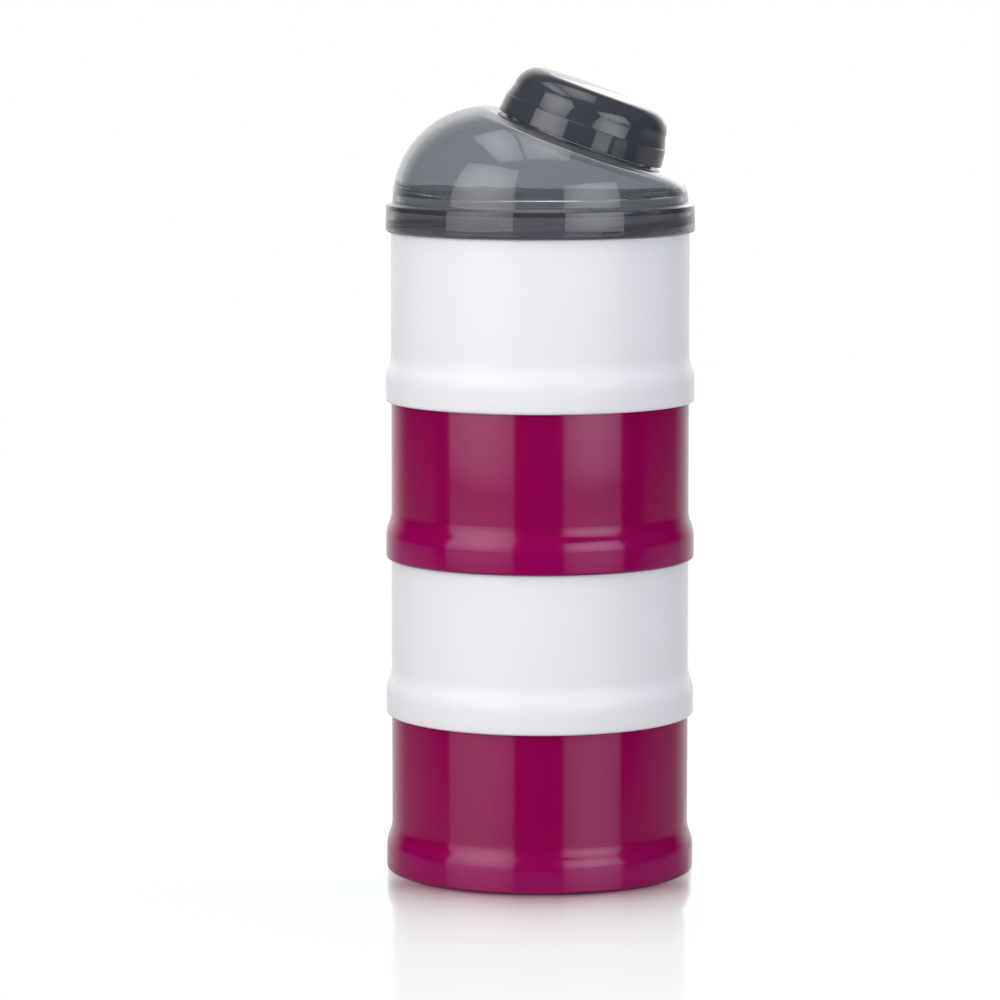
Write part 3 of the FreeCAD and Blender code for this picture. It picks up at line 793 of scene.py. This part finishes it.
def make_table():
    """A white, slightly glossy table top that turns to plain white away from the stack."""
    bm = bmesh.new()
    bmesh.ops.create_grid(bm, x_segments=1, y_segments=1, size=TABLE_HALF)
    mesh = bpy.data.meshes.new("table_top")
    bm.to_mesh(mesh)
    bm.free()
    piece = bpy.data.objects.new("table_top", mesh)
    bpy.context.scene.collection.objects.link(piece)
    material, tree, shader = new_material("White table")
    links = tree.links
    shader.inputs["Roughness"].default_value = TABLE_ROUGHNESS
    place = tree.nodes.new("ShaderNodeTexCoord")
    path = tree.nodes.new("ShaderNodeLightPath")
    front = front_value(tree, place.outputs["Object"])
    clear = seen_directly(tree, path)
    grazing = tree.nodes.new("ShaderNodeLayerWeight")
    along = ramp_node(tree, grazing.outputs["Facing"], TABLE_GRAZING)
    mirror = math_node(tree, "MULTIPLY", clear, ramp_node(tree, front, TABLE_FRONT))
    mirror = math_node(tree, "MULTIPLY", mirror, along)
    # painted shade: in the cups' gloss the table is darker towards the front, while the eye sees it
    # white
    in_gloss = ramp_node(tree, front, TABLE_PAINTED_SHADE_IN_GLOSS)
    shade = mix_value(tree, path.outputs["Is Glossy Ray"], TABLE_SHADE, in_gloss)
    top = tree.nodes.new("ShaderNodeMix")
    top.data_type = "RGBA"
    links.new(mirror, top.inputs["Factor"])
    links.new(shade, top.inputs["A"])
    top.inputs["B"].default_value = TABLE_TINT
    links.new(top.outputs["Result"], shader.inputs["Base Color"])
    links.new(mirror, shader.inputs["Metallic"])
    glow = mix_value(tree, mirror, TABLE_GLOW, 0.0)
    links.new(math_node(tree, "MULTIPLY", clear, glow), shader.inputs["Emission Strength"])
    length = tree.nodes.new("ShaderNodeVectorMath")
    length.operation = "LENGTH"
    links.new(place.outputs["Object"], length.inputs[0])
    outside = math_node(tree, "MAXIMUM", length.outputs["Value"], TABLE_NEAR)
    near = math_node(tree, "POWER", math_node(tree, "DIVIDE", TABLE_NEAR, outside), TABLE_FADE)
    fade = math_node(tree, "MULTIPLY", clear, math_node(tree, "SUBTRACT", 1.0, near))
    shader.inputs["Emission Color"].default_value = (1, 1, 1, 1)
    white = tree.nodes.new("ShaderNodeEmission")
    mix = tree.nodes.new("ShaderNodeMixShader")
    links.new(fade, mix.inputs["Fac"])
    links.new(shader.outputs[0], mix.inputs[1])
    links.new(white.outputs[0], mix.inputs[2])
    links.new(mix.outputs[0], tree.nodes["Material Output"].inputs["Surface"])
    mesh.materials.append(material)


def make_camera():
    """The camera, a little right of the front, with a long lens and looking slightly down."""
    azimuth = math.radians(CAMERA_AZIMUTH)
    camera = bpy.data.cameras.new("Camera")
    camera.lens = CAMERA_LENS
    camera.sensor_width = CAMERA_SENSOR
    camera.clip_end = 50.0
    place = bpy.data.objects.new("Camera", camera)
    place.location = (CAMERA_DISTANCE * math.sin(azimuth), -CAMERA_DISTANCE * math.cos(azimuth),
                      CAMERA_HEIGHT)
    down = math.radians(CAMERA_PITCH)
    yaw = azimuth + math.radians(CAMERA_YAW)
    forward = Vector((-math.sin(yaw) * math.cos(down), math.cos(yaw) * math.cos(down),
                      -math.sin(down)))
    place.rotation_euler = forward.to_track_quat("-Z", "Y").to_euler()
    bpy.context.scene.collection.objects.link(place)
    bpy.context.scene.camera = place


# ---- the assembly ----
def main():
    """Make the stack, the studio and the camera."""
    surface = moulded_group()
    collars = collar_group()
    white, shader = moulded_material("White plastic", WHITE, CUP_FACE, surface)
    shader.inputs["Specular IOR Level"].default_value = WHITE_SPECULAR
    magenta, shader = moulded_material("Magenta plastic", MAGENTA, CUP_FACE, surface)
    shader.inputs["Specular Tint"].default_value = MAGENTA_GLOSS
    # painted light: a brighter, more violet colour on the magenta collars and flares
    paint_collar_light_and_shade(magenta, MAGENTA, MAGENTA_COLLAR_PAINTED_LIGHT, WALL_RADIUS, COLLAR_RADIUS, collars)
    smoky, shader = moulded_material("Smoky plastic", SMOKY, LID_FACE, surface)
    # the lid's rim: darker for its thicker plastic, and painted shade of the dark space inside it
    paint_collar_light_and_shade(smoky, SMOKY, SMOKY_THICK_RIM_AND_SHADE, DOME_RADIUS, RIM_TOP_RADIUS, collars)
    shader.inputs["Transmission Weight"].default_value = SMOKY_CLEAR
    shader.inputs["IOR"].default_value = SMOKY_IOR
    deep, shader = moulded_material("Deep smoky plastic", DEEP_SMOKY, CAP_FACE, surface)
    shader.inputs["Transmission Weight"].default_value = DEEP_SMOKY_CLEAR
    shader.inputs["IOR"].default_value = SMOKY_IOR
    silicone, _ = moulded_material("Milky silicone", SILICONE, SILICONE_FACE, surface)
    bodies = {1: "top_cup", 2: "second_cup", 3: "third_cup", 4: "stand_cup"}
    for number, body in bodies.items():
        cup_material = white if number % 2 else magenta
        dress(make_cup(number), cup_material, body)
        ring_body = "stand_cup" if number == 4 else f"{body}_ring"
        dress(make_seal(f"seal_{number}"), silicone, ring_body)
    dress(make_seal("lid_seal"), silicone, "lid_ring")
    dress(make_lid(), smoky, "lid")
    dress(make_cap(), deep, "cap")
    world_light()
    for name, facts in SOFTBOXES.items():
        softbox(name, *facts)
    for name, ends in OVERHEADS.items():
        overhead(name, *ends)
    make_table()
    make_camera()
    scene = bpy.context.scene
    scene.view_settings.view_transform = "Standard"


main()
